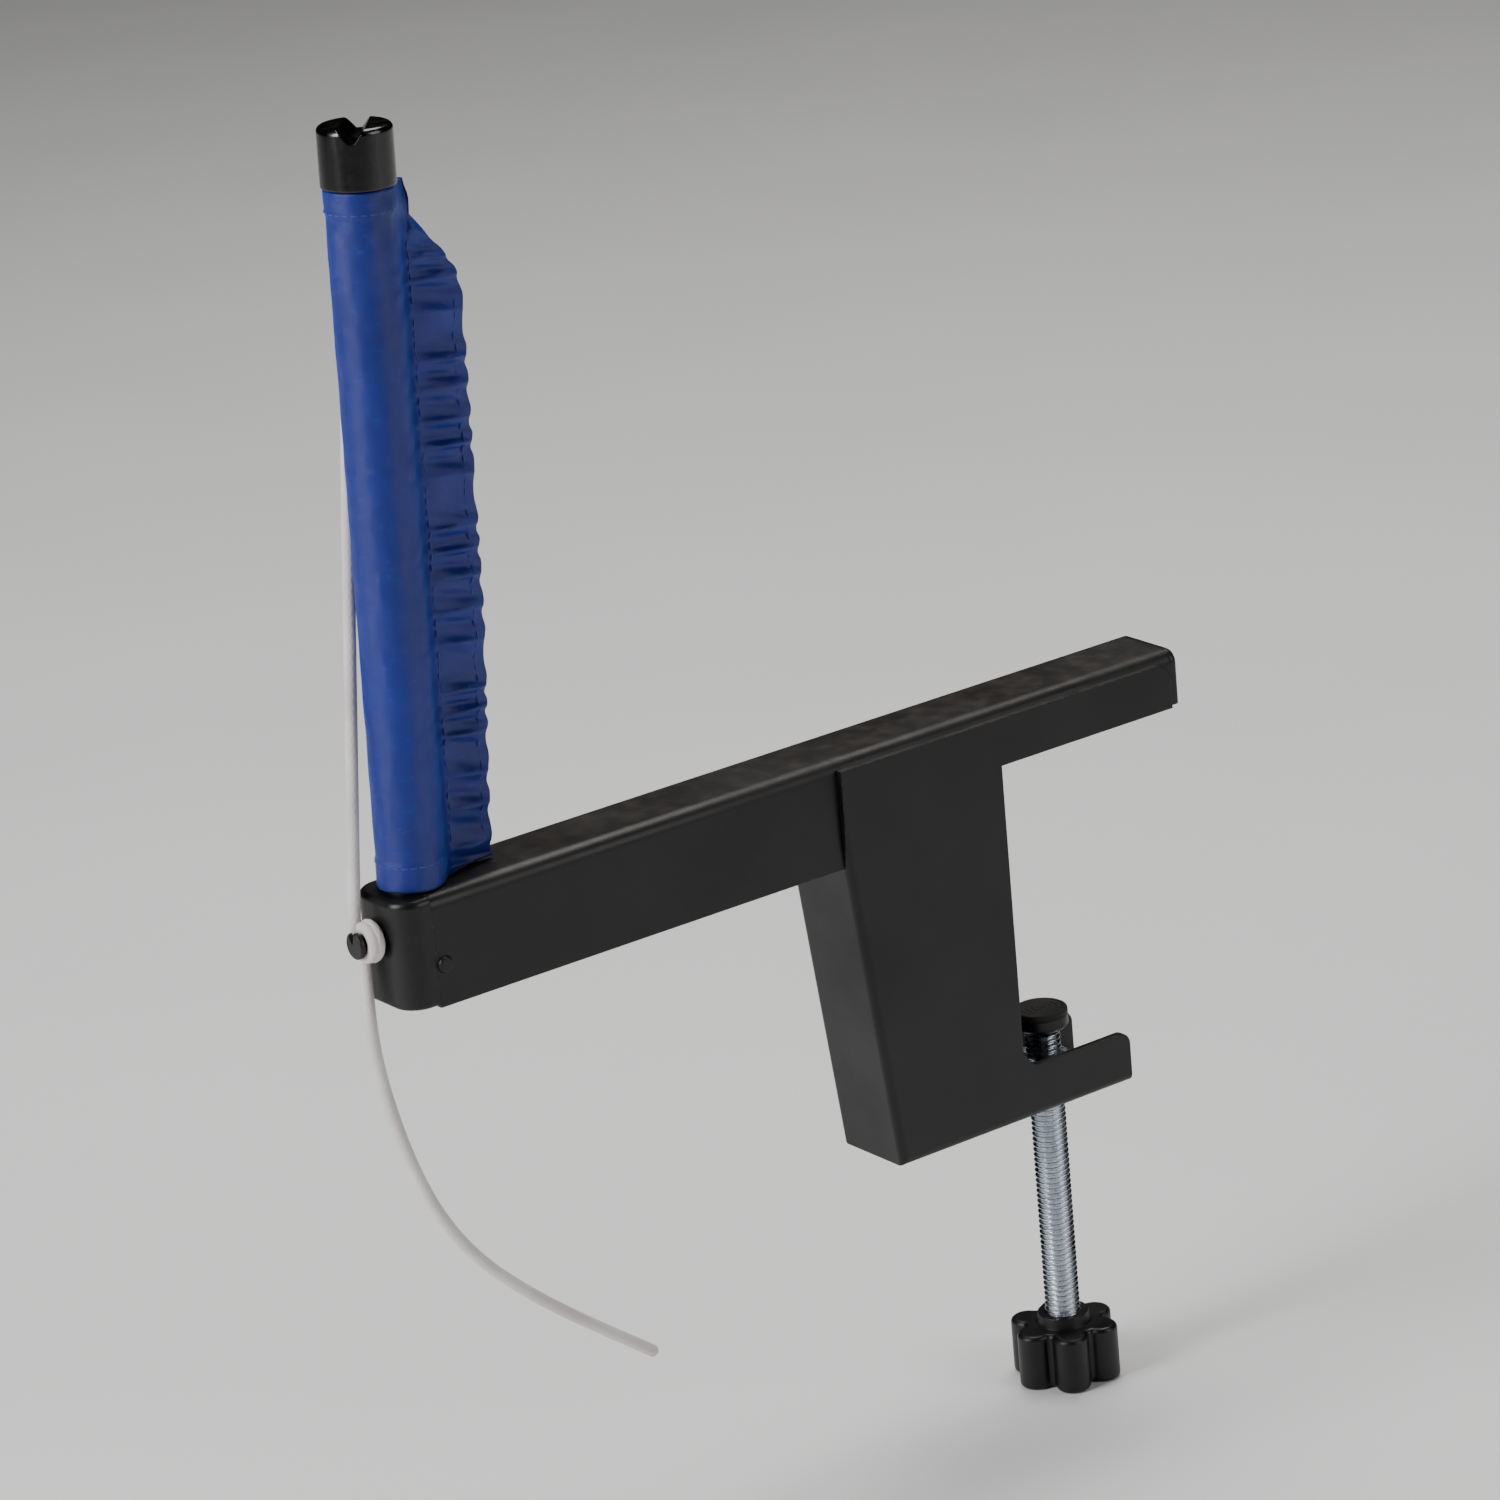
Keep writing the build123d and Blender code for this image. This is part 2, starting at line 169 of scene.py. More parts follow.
def cord_route():
    """The cord's control points, with one more on the tight run, six diameters from the peg."""
    run = [Vector(p) * MM for p in run_points]
    low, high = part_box("cord_turns")
    run[-1] = Vector((run[-1].x, low.y + end_pull * cord_radius, run[-1].z))
    straight = (run[-2] - run[-1]).normalized()
    run.insert(-1, run[-1] + straight * 12 * cord_radius)
    tail = [Vector(p) * MM for p in tail_points]
    return run + [Vector(p) for p in peg_turns()] + tail[1:]


def spline_line(points):
    """The smooth line of the NURBS spline that has these control points."""
    curve = bpy.data.curves.new("route", "CURVE")
    curve.dimensions = "3D"
    curve.resolution_u = 40
    spline = curve.splines.new("NURBS")
    spline.points.add(len(points) - 1)
    for point, place in zip(spline.points, points):
        point.co = (*place, 1)
    spline.order_u = 3
    spline.use_endpoint_u = True
    route = bpy.data.objects.new("route", curve)
    bpy.context.scene.collection.objects.link(route)
    bpy.context.view_layer.update()
    mesh = bpy.data.meshes.new_from_object(route)
    line = [v.co.copy() for v in mesh.vertices]
    bpy.data.objects.remove(route)
    bpy.data.meshes.remove(mesh)
    return line


def even(line, spacing):
    """Points along a line at an even spacing."""
    spaced, want, gone = [line[0]], spacing, 0.0
    for a, b in zip(line, line[1:]):
        step = (b - a).length
        while step > 0 and gone + step >= want:
            spaced.append(a.lerp(b, (want - gone) / step))
            want += spacing
        gone += step
    return spaced


def braided_tube(line):
    """Rings of a plaited cord along a line: two families of strands that cross over each other."""
    sides, strands, lay = 32, 8, 9.0 * MM
    relief = 0.055
    rings = []
    across = Vector((1, 0, 0))
    gone = 0.0
    for i, point in enumerate(line):
        before, after = line[max(i - 1, 0)], line[min(i + 1, len(line) - 1)]
        ahead = (after - before).normalized()
        across = (across - ahead * across.dot(ahead)).normalized()
        beside = ahead.cross(across)
        gone += (point - line[i - 1]).length if i else 0.0
        left = min(i, len(line) - 1 - i)
        taper = math.sqrt(min(1.0, (left + 0.35) / 2.5))
        ring = []
        for j in range(sides):
            angle = math.tau * j / sides
            twist = math.tau * gone / lay
            one = abs(math.cos(strands / 2 * angle + twist * strands / 4))
            two = abs(math.cos(strands / 2 * angle - twist * strands / 4))
            reach = cord_radius * taper * (1 - relief + relief * 1.5 * max(one, two) ** 1.5)
            ring.append(point + (across * math.cos(angle) + beside * math.sin(angle)) * reach)
        rings.append(ring)
    return rings


def add_cord():
    route = cord_route()
    line = even(spline_line(route), cord_spacing)
    points, faces = loft(braided_tube(line))
    cord = new_piece("tension_cord", points, faces)
    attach(cord, "frame")
    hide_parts("cord_run", "cord_turns", "cord_tail")
    return cord


cord = add_cord()


# ---- materials ----
def node(tree, kind, **settings):
    """A shader node; settings with a plain name set a property, and those in `inputs` set sockets."""
    made = tree.nodes.new(kind)
    for key, value in settings.pop("inputs", {}).items():
        made.inputs[key].default_value = value
    for key, value in settings.items():
        setattr(made, key, value)
    return made


def new_material(name, **sockets):
    """A material, its tree and its shader, with the sockets that are the same all over."""
    material = bpy.data.materials.new(name)
    material.use_nodes = True
    tree = material.node_tree
    shader = tree.nodes["Principled BSDF"]
    for key, value in sockets.items():
        shader.inputs[key.replace("_", " ")].default_value = value
    return material, tree, shader


def place_coordinates(tree):
    return node(tree, "ShaderNodeTexCoord").outputs["Object"]


def noise_texture(tree, where, scale, detail=3.0, stretch=(1, 1, 1)):
    """Noise between 0 and 1, at a number of cells a metre."""
    mapping = node(tree, "ShaderNodeMapping", inputs={"Scale": stretch})
    tree.links.new(where, mapping.inputs["Vector"])
    texture = node(tree, "ShaderNodeTexNoise", inputs={"Scale": scale, "Detail": detail})
    tree.links.new(mapping.outputs["Vector"], texture.inputs["Vector"])
    return texture.outputs["Fac"]


def spread(tree, value, low, high, to_low, to_high):
    """A value's stretch from low to high, mapped to another one."""
    ranged = node(
        tree,
        "ShaderNodeMapRange",
        inputs={"From Min": low, "From Max": high, "To Min": to_low, "To Max": to_high},
    )
    tree.links.new(value, ranged.inputs["Value"])
    return ranged.outputs["Result"]


def mixed(tree, factor, first, second):
    """Two colours mixed by a factor; each is a colour or an output."""
    mix = node(tree, "ShaderNodeMix", data_type="RGBA")
    tree.links.new(factor, mix.inputs["Factor"])
    for socket, colour in ((mix.inputs[6], first), (mix.inputs[7], second)):
        if isinstance(colour, tuple):
            socket.default_value = (*colour, 1)
        else:
            tree.links.new(colour, socket)
    return mix.outputs[2]


def calc(tree, operation, first, second):
    """One arithmetic step; each side is a number or an output."""
    step = node(tree, "ShaderNodeMath", operation=operation)
    for socket, value in zip(step.inputs, (first, second)):
        if isinstance(value, (int, float)):
            socket.default_value = value
        else:
            tree.links.new(value, socket)
    return step.outputs[0]


def soft_edges(tree, radius):
    """The surface's normal, rounded over at its edges."""
    return node(tree, "ShaderNodeBevel", samples=6, inputs={"Radius": radius}).outputs["Normal"]


def edge_mask(tree, rounded):
    """About 1 along an edge and 0 elsewhere."""
    flat = node(tree, "ShaderNodeNewGeometry").outputs["Normal"]
    dot = node(tree, "ShaderNodeVectorMath", operation="DOT_PRODUCT")
    tree.links.new(flat, dot.inputs[0])
    tree.links.new(rounded, dot.inputs[1])
    return spread(tree, dot.outputs["Value"], 0.995, 0.86, 0.0, 1.0)


def add_bump(tree, shader, height, depth, normal=None):
    """Relief of a depth in metres, on top of a normal."""
    bump = node(tree, "ShaderNodeBump", inputs={"Strength": 1.0, "Distance": depth})
    tree.links.new(height, bump.inputs["Height"])
    if normal is not None:
        tree.links.new(normal, bump.inputs["Normal"])
    tree.links.new(bump.outputs["Normal"], shader.inputs["Normal"])


def upward(tree):
    """1 on faces that look up, 0 on the others."""
    normal = node(tree, "ShaderNodeNewGeometry").outputs["Normal"]
    parts = node(tree, "ShaderNodeSeparateXYZ")
    tree.links.new(normal, parts.inputs["Vector"])
    return spread(tree, parts.outputs["Z"], 0.6, 0.95, 0.0, 1.0)


def black_steel():
    """Satin powder coat: a fine orange peel, dust on top faces, and rubbed edges."""
    material, tree, shader = new_material("satin_black_steel", Specular_IOR_Level=0.38)
    where = place_coordinates(tree)
    rounded = soft_edges(tree, 0.5 * MM)
    patches = noise_texture(tree, where, 70, 4)
    body = mixed(tree, patches, (0.0022, 0.0022, 0.0024), (0.0052, 0.0050, 0.0052))
    dust_spots = spread(tree, noise_texture(tree, where, 260, 6), 0.42, 0.75, 0.25, 1.0)
    dusty = calc(tree, "MULTIPLY", upward(tree), calc(tree, "MULTIPLY", dust_spots, 0.55))
    body = mixed(tree, dusty, body, (0.060, 0.052, 0.046))
    rub_spots = spread(tree, noise_texture(tree, where, 900, 5), 0.50, 0.68, 0.0, 0.65)
    rubbed = calc(tree, "MULTIPLY", edge_mask(tree, rounded), rub_spots)
    tree.links.new(mixed(tree, rubbed, body, (0.10, 0.095, 0.09)), shader.inputs["Base Color"])
    tree.links.new(
        spread(tree, noise_texture(tree, where, 45, 5), 0.3, 0.7, 0.34, 0.50),
        shader.inputs["Roughness"],
    )
    add_bump(tree, shader, noise_texture(tree, where, 1300, 2), 0.012 * MM, rounded)
    return material


def black_plastic():
    """Moulded plastic with a fine spark-eroded texture."""
    material, tree, shader = new_material("black_plastic", Specular_IOR_Level=0.4)
    where = place_coordinates(tree)
    rounded = soft_edges(tree, 0.35 * MM)
    patches = noise_texture(tree, where, 120, 4)
    body = mixed(tree, patches, (0.0022, 0.0022, 0.0025), (0.0055, 0.0054, 0.0058))
    scuffs = spread(tree, noise_texture(tree, where, 700, 5), 0.52, 0.70, 0.0, 0.5)
    worn = calc(tree, "MULTIPLY", edge_mask(tree, rounded), scuffs)
    tree.links.new(mixed(tree, worn, body, (0.07, 0.07, 0.07)), shader.inputs["Base Color"])
    tree.links.new(
        spread(tree, noise_texture(tree, where, 90, 4), 0.3, 0.7, 0.33, 0.48),
        shader.inputs["Roughness"],
    )
    add_bump(tree, shader, noise_texture(tree, where, 3200, 2), 0.014 * MM, rounded)
    return material


def gloss_plastic():
    """Polished plastic with hairline scratches and a few dust specks."""
    material, tree, shader = new_material(
        "gloss_black_plastic", Specular_IOR_Level=0.55, Coat_Weight=0.4, Coat_Roughness=0.08
    )
    where = place_coordinates(tree)
    rounded = soft_edges(tree, 0.4 * MM)
    specks = spread(tree, noise_texture(tree, where, 1500, 4), 0.68, 0.76, 0.0, 0.5)
    body = mixed(tree, specks, (0.0018, 0.0019, 0.0022), (0.04, 0.04, 0.04))
    tree.links.new(body, shader.inputs["Base Color"])
    scratches = noise_texture(tree, where, 500, 4, (1, 1, 0.08))
    tree.links.new(spread(tree, scratches, 0.35, 0.7, 0.14, 0.30), shader.inputs["Roughness"])
    waves = noise_texture(tree, where, 240, 2)
    add_bump(tree, shader, waves, 0.05 * MM, rounded)
    return material


def zinc():
    """Bright zinc plate: cool, with faint yellow patches and fine scratches."""
    material, tree, shader = new_material("zinc_steel", Metallic=1.0)
    where = place_coordinates(tree)
    body = mixed(tree, noise_texture(tree, where, 110, 5), (0.60, 0.67, 0.75), (0.74, 0.78, 0.82))
    grime = spread(tree, noise_texture(tree, where, 420, 5), 0.55, 0.75, 0.0, 0.4)
    tree.links.new(mixed(tree, grime, body, (0.30, 0.32, 0.34)), shader.inputs["Base Color"])
    streaks = noise_texture(tree, where, 900, 4, (1, 1, 0.25))
    tree.links.new(spread(tree, streaks, 0.3, 0.7, 0.20, 0.38), shader.inputs["Roughness"])
    add_bump(tree, shader, streaks, 0.006 * MM)
    return material


def rubber():
    """Matt rubber with a fine grain and a dusty bloom."""
    material, tree, shader = new_material("black_rubber", Specular_IOR_Level=0.35)
    where = place_coordinates(tree)
    body = mixed(tree, noise_texture(tree, where, 300, 5), (0.010, 0.010, 0.010), (0.030, 0.029, 0.028))
    tree.links.new(body, shader.inputs["Base Color"])
    tree.links.new(
        spread(tree, noise_texture(tree, where, 150, 4), 0.3, 0.7, 0.62, 0.80),
        shader.inputs["Roughness"],
    )
    add_bump(tree, shader, noise_texture(tree, where, 2500, 3), 0.03 * MM)
    return material


def sleeve_cloth():
    """Coated plain weave: warp and weft follow the cloth attribute, with creases rubbed paler."""
    material, tree, shader = new_material(
        "blue_sleeve",
        Specular_IOR_Level=0.5,
        Sheen_Weight=0.35,
        Sheen_Roughness=0.35,
        Sheen_Tint=(0.12, 0.30, 0.95, 1.0),
    )
    cloth = node(tree, "ShaderNodeAttribute", attribute_name="cloth").outputs["Vector"]
    parts = node(tree, "ShaderNodeSeparateXYZ")
    tree.links.new(cloth, parts.inputs["Vector"])
    yarns = math.tau / (0.42 * MM)
    warp = calc(tree, "SINE", calc(tree, "MULTIPLY", parts.outputs["X"], yarns), 0)
    weft = calc(tree, "SINE", calc(tree, "MULTIPLY", parts.outputs["Y"], yarns), 0)
    weave = calc(tree, "MULTIPLY", warp, weft)
    where = place_coordinates(tree)
    shades = spread(tree, noise_texture(tree, where, 60, 5), 0.3, 0.7, 0.0, 1.0)
    body = mixed(tree, shades, (0.0009, 0.0075, 0.125), (0.0016, 0.0140, 0.215))
    yarn_tone = spread(tree, weave, -1.0, 1.0, 0.0, 0.35)
    body = mixed(tree, yarn_tone, body, (0.003, 0.028, 0.34))
    creased = spread(tree, noise_texture(tree, where, 420, 6, (1, 1, 2.2)), 0.60, 0.72, 0.0, 0.35)
    tree.links.new(mixed(tree, creased, body, (0.012, 0.060, 0.46)), shader.inputs["Base Color"])
    tree.links.new(
        spread(tree, noise_texture(tree, where, 200, 4), 0.3, 0.7, 0.34, 0.50),
        shader.inputs["Roughness"],
    )
    crumple = noise_texture(tree, where, 170, 4)
    relief = calc(tree, "ADD", calc(tree, "MULTIPLY", weave, 0.05), calc(tree, "MULTIPLY", crumple, 0.7))
    add_bump(tree, shader, relief, 0.45 * MM)
    return material


def thread():
    """Sewing thread, a little paler than the cloth, with a twist."""
    material, tree, shader = new_material("blue_thread", Roughness=0.55, Sheen_Weight=0.3)
    where = place_coordinates(tree)
    plies = noise_texture(tree, where, 2400, 2)
    tone = mixed(tree, plies, (0.004, 0.022, 0.22), (0.012, 0.055, 0.40))
    tree.links.new(tone, shader.inputs["Base Color"])
    add_bump(tree, shader, plies, 0.05 * MM)
    return material


def white_cord():
    """Off-white polyester braid, slightly soiled, with loose fibres."""
    material, tree, shader = new_material(
        "white_cord", Specular_IOR_Level=0.35, Sheen_Weight=0.25, Sheen_Roughness=0.5
    )
    where = place_coordinates(tree)
    soil = spread(tree, noise_texture(tree, where, 90, 5), 0.35, 0.75, 0.0, 1.0)
    body = mixed(tree, soil, (0.80, 0.745, 0.745), (0.64, 0.585, 0.575))
    tree.links.new(body, shader.inputs["Base Color"])
    fibres = noise_texture(tree, where, 5200, 3)
    tree.links.new(spread(tree, fibres, 0.3, 0.7, 0.55, 0.75), shader.inputs["Roughness"])
    add_bump(tree, shader, fibres, 0.03 * MM)
    return material


finishes = {
    "satin_black_steel": black_steel(),
    "black_plastic": black_plastic(),
    "gloss_black_plastic": gloss_plastic(),
    "zinc_steel": zinc(),
    "black_rubber": rubber(),
    "blue_sleeve": sleeve_cloth(),
    "white_cord": white_cord(),
}


def dress(piece, material):
    piece.data.materials.clear()
    piece.data.materials.append(material)


for subpart in frame["record"]["subparts"]:
    dress(nodes[subpart["node"]], finishes[subpart["material_slot"]])
dress(cord, finishes["white_cord"])


# ---- net sleeve: sewn cloth round the post, drawn together in a gathered fin ----
tube_low, tube_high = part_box("post_tube")
sleeve_low, sleeve_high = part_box("net_sleeve")
post_radius = tube_high.x
sleeve_radius = sleeve_high.x
arm_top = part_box("arm_channel")[1].z
cap_middle = sum(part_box("post_cap"), Vector()) / 2
tube_middle = (tube_low + tube_high) / 2
post_axis = (cap_middle - tube_middle).normalized()
post_axis.x = 0
foot = tube_middle + post_axis * (arm_top - tube_middle.z) / post_axis.z
inward = Vector((0, post_axis.z, -post_axis.y))
sleeve_top = (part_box("post_cap")[0].z - arm_top) / post_axis.z - 0.15 * MM
sleeve_foot = 0.5 * MM
seam_out = 9.6 * MM
gather_pitch = 6.8 * MM
fin_low = 1.4 * MM
fin_middle = 60 * MM
fin_corner = 124 * MM
fin_top = 140.5 * MM
fin_full = 122 * MM         # below it the gathers have their full depth
roll_height = 138.5 * MM    # where the cloth rolls out under the cap
bore_gap = 0.1 * MM         # between the post and the cloth's inside
hem_stitches = 17


def gather_phase(height):
    """The gathers' phase, which runs unevenly up the fin."""
    slow = 1.5 * math.sin(height / (5.1 * MM))
    quick = 0.9 * math.sin(height / (2.9 * MM) + 1)
    return math.tau * height / gather_pitch + slow + quick


def fin_edge(height):
    """How far the fin's outer edge stands from the post's axis."""
    low, middle, corner, top = fin_low, fin_middle, fin_corner, fin_top
    widths = (20.0 * MM, 22.2 * MM, 22.4 * MM, 8.4 * MM)
    if height < middle:
        wide = widths[0] + (widths[1] - widths[0]) * smoothstep(low, middle, height)
    elif height < corner:
        wide = widths[1] + (widths[2] - widths[1]) * (height - middle) / (corner - middle)
    else:
        share = min((height - corner) / (top - corner), 1.0)
        wide = widths[2] + (widths[3] - widths[2]) * share
    rounding = 1.2 * MM * math.exp(-abs(height - corner) / (2.0 * MM))
    wave = 0.35 * MM * math.sin(gather_phase(height) + 0.7) * smoothstep(top, corner, height)
    return max(wide - rounding + wave, seam_reach(height) + 0.5 * MM)


def seam_reach(height):
    """Distance of the seam from the axis: the cloth rolls out under the cap, then draws in."""
    roll = 1.1 * MM * math.exp(-(((height - roll_height) / (4.0 * MM)) ** 2))
    return seam_out + roll


def gather(height, share):
    """Sideways push of the fin's cloth, sharp at the seam and softer at its edge."""
    phase = gather_phase(height) + 0.8 * share
    fold = 1 - 2 * abs(math.sin(phase / 2)) ** 0.7
    small = math.sin(2.3 * phase + 4 * share)
    grip = math.sin(math.pi * min(max(share * 0.86 + 0.08, 0), 1)) ** 0.8
    width = smoothstep(fin_top, fin_full, height)
    return (0.85 * fold + 0.22 * small) * MM * grip * (0.25 + 0.75 * width)


def fin_half(height, share):
    """Half the fin's thickness: pinched at the seam, puffed between, and folded at its edge."""
    puff = 0.5 + 0.5 * math.cos(gather_phase(height) + 1.2)
    body = 0.42 + (0.26 + 0.40 * puff) * math.sin(math.pi * share ** 0.8)
    return body * MM * math.sqrt(max(1 - share ** 10, 0.0))


def tube_reach(angle, height):
    """Outer radius of the tube part, with hems, soft creases and pulls that spread from the seam."""
    from_seam = abs(angle)
    pull = math.exp(-((from_seam / 1.15) ** 2)) * math.cos(gather_phase(height) + 1.6 * from_seam)
    where = Vector((2.2 * math.cos(angle), 2.2 * math.sin(angle), height / (9 * MM)))
    crumple = noise.noise(where) + 0.5 * noise.noise(where * 2.3)
    hem = smoothstep(sleeve_top - 5.5 * MM, sleeve_top - 4.9 * MM, height)
    hem += smoothstep(sleeve_foot + 6.3 * MM, sleeve_foot + 5.6 * MM, height)
    return sleeve_radius - 0.18 * MM + (0.20 * pull + 0.13 * crumple + 0.17 * hem) * MM


def half_profile(height, side):
    """Points (outward, sideways) of one side of the cloth, from the fin's edge round to the back."""
    seam = seam_reach(height)
    edge = fin_edge(height)
    leave = math.acos(sleeve_radius / seam)
    points = []
    fin_columns, bridge_columns, arc_columns = 22, 7, 34
    for k in range(fin_columns):
        share = 1 - k / fin_columns
        share = 1 - (1 - share) ** 1.4
        push = gather(height, share)
        points.append((seam + (edge - seam) * share, push + side * fin_half(height, share)))
    for k in range(bridge_columns):
        share = k / bridge_columns
        reach = tube_reach(leave, height)
        start = Vector((seam, side * fin_half(height, 0) + gather(height, 0)))
        end = Vector((reach * math.cos(leave), side * reach * math.sin(leave)))
        spot = start.lerp(end, share)
        hollow = 0.35 * MM * math.sin(math.pi * share)
        points.append((spot.x, spot.y - side * hollow))
    for k in range(arc_columns + 1):
        angle = leave + (math.pi - leave) * k / arc_columns
        reach = tube_reach(angle, height)
        points.append((reach * math.cos(angle), side * reach * math.sin(angle)))
    return points


def place_on_post(out, sideways, height):
    """A point at a distance from the post's axis and a height along it; the fin stays off the arm."""
    lift = max(out, 0) * 0.05 * math.exp(-height / (12 * MM))
    return foot + post_axis * (height + lift) + inward * out + Vector((sideways, 0, 0))


def sleeve_rows():
    """Rows of the cloth's outside and of its bore, from the bottom hem to the top one."""
    rows = 330
    outside, bore, flat = [], [], []
    for i in range(rows + 1):
        height = sleeve_foot + (sleeve_top - sleeve_foot) * i / rows
        right = half_profile(height, 1)
        left = half_profile(height, -1)
        loop = right + left[-2:0:-1]
        outside.append([place_on_post(out, sideways, height) for out, sideways in loop])
        count = len(loop)
        inner = post_radius + bore_gap
        around = [math.tau * j / count for j in range(count)]
        bore.append(
            [place_on_post(inner * math.cos(a), inner * math.sin(a), height) for a in around]
        )
        along = 0.0
        row = []
        for j, (out, sideways) in enumerate(loop):
            before = loop[j - 1] if j else loop[0]
            along += math.hypot(out - before[0], sideways - before[1])
            row.append((along, height, 0.0))
        flat.append(row)
    return outside, bore, flat


def add_sleeve():
    outside, bore, flat = sleeve_rows()
    count, rows = len(outside[0]), len(outside)
    points = [p for row in outside + bore for p in row]
    inner = rows * count
    faces = []
    for i in range(rows - 1):
        for j in range(count):
            k = (j + 1) % count
            a, b, c, d = i * count + j, i * count + k, (i + 1) * count + k, (i + 1) * count + j
            faces.append((a, b, c, d))
            faces.append((inner + d, inner + c, inner + b, inner + a))
    for j in range(count):
        k = (j + 1) % count
        faces.append((inner + j, inner + k, k, j))
        top = (rows - 1) * count
        faces.append((top + j, top + k, inner + top + k, inner + top + j))
    sleeve = new_piece("sleeve_cloth", points, faces)
    cloth = sleeve.data.attributes.new("cloth", "FLOAT_VECTOR", "POINT")
    for i, spot in enumerate([s for row in flat + flat for s in row]):
        cloth.data[i].vector = spot
    dress(sleeve, finishes["blue_sleeve"])
    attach(sleeve, "frame")
    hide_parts("net_sleeve")
    return sleeve


def capsule(start, end, radius):
    """Points and faces of one short stitch, thick in its middle."""
    ahead = (end - start).normalized()
    across = ahead.orthogonal().normalized()
    beside = ahead.cross(across)
    sides = 8
    rings = []
    for share, reach in ((0.0, 0.35), (0.14, 0.8), (0.5, 1.0), (0.86, 0.8), (1.0, 0.35)):
        middle = start.lerp(end, share)
        around = [math.tau * j / sides for j in range(sides)]
        rings.append(
            [middle + (across * math.cos(a) + beside * math.sin(a)) * radius * reach for a in around]
        )
    return loft(rings)


def add_stitches():
    """A row of stitches up each side of the seam, one near the fin's edge, and one round each hem."""
    stitch, gap, thick = 1.7 * MM, 0.6 * MM, 0.16 * MM
    parts = []

    def on_fin(height, share, side):
        seam, edge = seam_reach(height), fin_edge(height)
        out = seam + (edge - seam) * share
        return place_on_post(out, gather(height, share) + side * fin_half(height, share), height)

    for share, top in ((0.05, 133 * MM), (0.80, 120 * MM)):
        for side in (-1, 1):
            height = 4 * MM
            while height + stitch < top:
                start = on_fin(height, share, side)
                end = on_fin(height + stitch, share, side)
                parts.append(capsule(start, end, thick))
                height += stitch + gap
    for height in (sleeve_foot + 5.2 * MM, sleeve_top - 4.4 * MM):
        first, last = 0.9, math.tau - 0.9
        step = (last - first) / hem_stitches
        for i in range(hem_stitches):
            ends = []
            for angle in (first + step * i, first + step * (i + 0.72)):
                turned = angle if angle < math.pi else angle - math.tau
                reach = tube_reach(turned, height)
                ends.append(place_on_post(reach * math.cos(angle), reach * math.sin(angle), height))
            parts.append(capsule(ends[0], ends[1], thick))
    stitches = new_piece("sleeve_stitches", *merge(parts))
    dress(stitches, thread())
    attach(stitches, "frame")
    return stitches


sleeve = add_sleeve()
stitches = add_stitches()


# ---- clamp screw: an M8 thread with its hex head and the spigot for the shoe ----
screw_low, screw_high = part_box("clamp_screw")
shoe_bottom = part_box("pad_shoe")[0].z
knob_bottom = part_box("clamp_knob")[0].z


def circle_ring(radius, z, count, turn=0.0):
    angles = [math.tau * j / count + turn for j in range(count)]
    return [Vector((radius * math.cos(a), radius * math.sin(a), z)) for a in angles]


def thread_ring(z, pitch, major, depth, end, count=44):
    """One ring of a right-hand thread; it runs out at the shank's end."""
    ring = []
    for j in range(count):
        angle = math.tau * j / count
        phase = (z / pitch - angle / math.tau) % 1.0
        slope = abs(2 * phase - 1)
        cut = min(max((slope - 0.12) / 0.72, 0.0), 1.0)
        limit = major - max(0.0, 0.9 * MM - (end - z))
        radius = min(major - depth * cut, limit)
        ring.append(Vector((radius * math.cos(angle), radius * math.sin(angle), z)))
    return ring


def hex_ring(flats, z, count=6):
    reach = flats / 2 / math.cos(math.pi / 6)
    return circle_ring(reach, z, count)


def add_screw():
    pitch, depth = 1.25 * MM, 0.74 * MM
    rows_per_turn = 14
    major = 3.97 * MM
    head_top = knob_bottom + 5.3 * MM
    end = shoe_bottom - 0.3 * MM
    rows = int((end - head_top) / pitch * rows_per_turn)
    shank = []
    for i in range(rows + 1):
        z = head_top + (end - head_top) * i / rows
        shank.append(thread_ring(z, pitch, major, depth, end))
    spigot_rings = []
    for radius, z in (
        (2.5, shoe_bottom - 0.4 * MM),
        (2.5, shoe_bottom + 1.5 * MM),
        (3.1, shoe_bottom + 1.55 * MM),
        (3.15, shoe_bottom + 2.3 * MM),
        (2.9, shoe_bottom + 2.5 * MM),
    ):
        spigot_rings.append(circle_ring(radius * MM, z, 40))
    flats = 12.9 * MM
    head_rings = [
        hex_ring(flats - 0.9 * MM, knob_bottom + 0.02 * MM),
        hex_ring(flats, knob_bottom + 0.35 * MM),
        hex_ring(flats, head_top),
    ]
    screw = new_piece("threaded_screw", *merge([loft(shank), loft(spigot_rings)]))
    head = new_piece("screw_head", *loft(head_rings), smooth=False)
    for piece in (screw, head):
        dress(piece, finishes["zinc_steel"])
        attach(piece, "screw")
    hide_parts("clamp_screw")


add_screw()


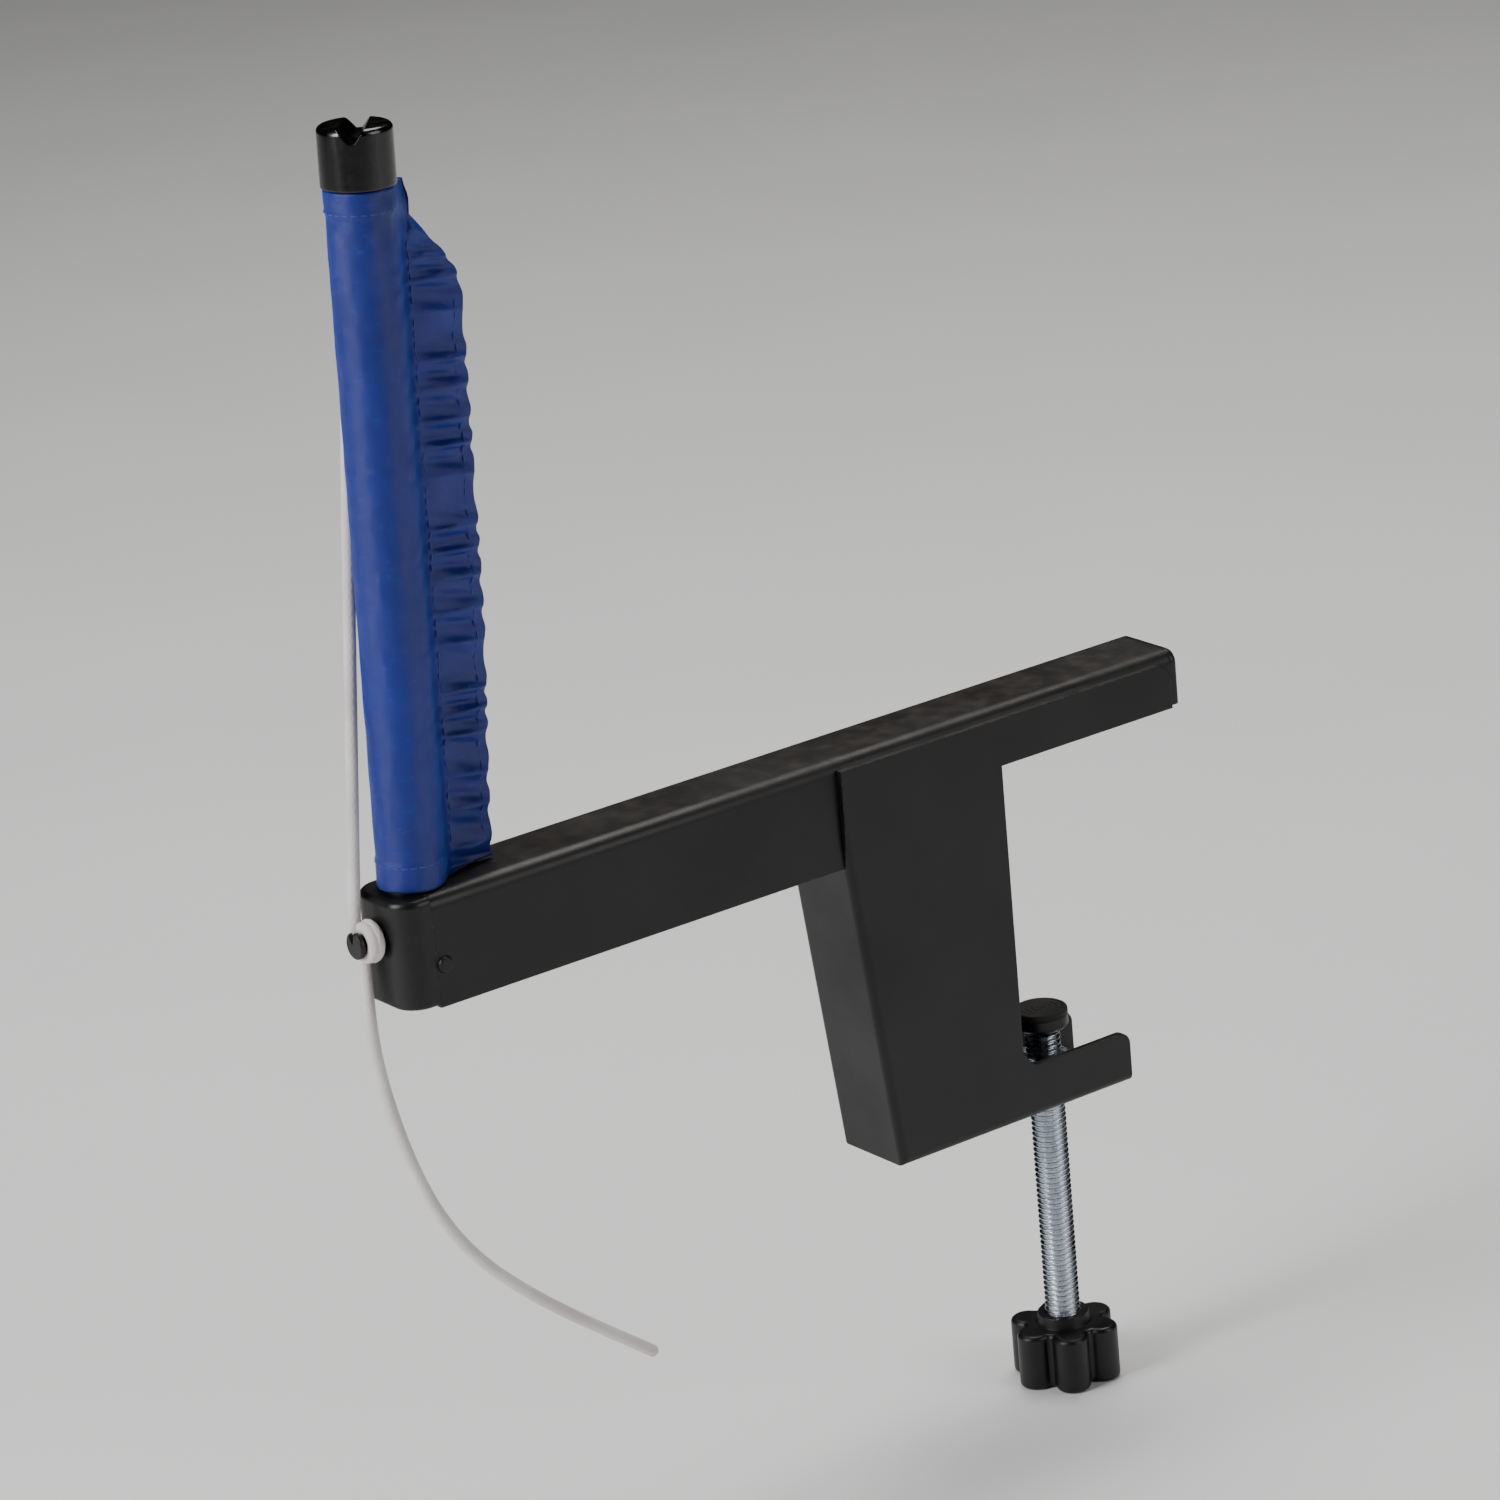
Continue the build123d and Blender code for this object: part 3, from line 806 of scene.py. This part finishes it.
# ---- soft facings: a ribbed strip in the upper jaw and a ringed disc on the shoe ----
def add_jaw_strip():
    """A rubber strip with cross ribs on the face that meets the table."""
    low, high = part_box("upper_jaw_pad")
    rib, deep, corner = 2.2 * MM, 0.35 * MM, 1.4 * MM
    rows, columns = 190, 22
    rings = []
    for i in range(rows + 1):
        y = low.y + (high.y - low.y) * i / rows
        near = min(y - low.y, high.y - y)
        inset = corner - math.sqrt(max(corner**2 - max(corner - near, 0.0) ** 2, 0.0))
        half = high.x - inset
        wave = 0.5 - 0.5 * math.cos(math.tau * (y - low.y) / rib)
        cut = deep * smoothstep(0.62, 0.95, wave) * smoothstep(1.0 * MM, 2.0 * MM, near)
        round_over = 0.4 * MM * (1 - smoothstep(0.0, 0.6 * MM, near))
        ring = []
        for j in range(columns + 1):
            across = -1 + 2 * j / columns
            fall = 0.4 * MM * max(0.0, (abs(across) - 0.94) / 0.06) ** 2
            z = low.z + cut * (1 - smoothstep(0.86, 0.92, abs(across))) + fall + round_over
            ring.append(Vector((half * across, y, z)))
        ring.append(Vector((half, y, high.z)))
        ring.append(Vector((-half, y, high.z)))
        rings.append(ring)
    strip = new_piece("jaw_strip", *loft(rings))
    finish_pad(strip, "frame", "upper_jaw_pad")


def add_shoe_disc():
    """A rubber disc with raised rings on its upper face."""
    low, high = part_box("pad_facing")
    radius = high.x
    thick = high.z - low.z
    rings = [circle_ring(radius, low.z, 64), circle_ring(radius, low.z + 0.6 * thick, 64)]
    for k in range(8):
        angle = math.pi / 2 * (k + 1) / 8
        reach = radius - 0.55 * MM * (1 - math.cos(angle))
        rings.append(circle_ring(reach, high.z - 0.55 * MM * (1 - math.sin(angle)), 64))
    steps = 44
    for k in range(1, steps):
        reach = (radius - 0.55 * MM) * (1 - k / steps)
        wave = 0.5 - 0.5 * math.cos(math.tau * (radius - 0.55 * MM - reach) / (1.35 * MM))
        rings.append(circle_ring(reach, high.z - 0.22 * MM * smoothstep(0.55, 0.9, wave), 64))
    disc = new_piece("shoe_disc", *loft(rings))
    finish_pad(disc, "shoe", "pad_facing")


def finish_pad(piece, body, replaced):
    dress(piece, finishes["black_rubber"])
    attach(piece, body)
    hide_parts(replaced)


add_jaw_strip()
add_shoe_disc()


# ---- floor and light ----
def add_floor():
    half = 6.0
    level = cad_bounds[0][2]
    corners = [(-half, -half, level), (half, -half, level), (half, half, level), (-half, half, level)]
    floor = new_piece("floor", corners, [(0, 1, 2, 3)], smooth=False)
    material, tree, shader = new_material("pale_floor", Specular_IOR_Level=0.3)
    where = place_coordinates(tree)
    tone = mixed(tree, noise_texture(tree, where, 3, 3), (0.80, 0.80, 0.81), (0.84, 0.84, 0.84))
    tree.links.new(tone, shader.inputs["Base Color"])
    tree.links.new(
        spread(tree, noise_texture(tree, where, 12, 3), 0.3, 0.7, 0.60, 0.70),
        shader.inputs["Roughness"],
    )
    dress(floor, material)


def add_light(name, place, size, power, colour=(1, 1, 1)):
    """A square soft light that faces the clamp."""
    data = bpy.data.lights.new(name, "AREA")
    data.shape = "RECTANGLE"
    data.size, data.size_y = size
    data.energy = power
    data.color = colour
    light = bpy.data.objects.new(name, data)
    light.location = place
    middle = Vector((0, -0.07, 0.02))
    light.rotation_mode = "QUATERNION"
    light.rotation_quaternion = (middle - Vector(place)).to_track_quat("-Z", "Y")
    bpy.context.scene.collection.objects.link(light)


add_floor()
add_light("key", (-0.10, -1.30, 0.75), (0.45, 1.1), 22)
add_light("top", (-0.35, 0.35, 1.35), (0.9, 0.9), 18, (1.0, 0.98, 0.95))
add_light("fill", (1.15, 0.55, 0.55), (0.8, 0.8), 6)
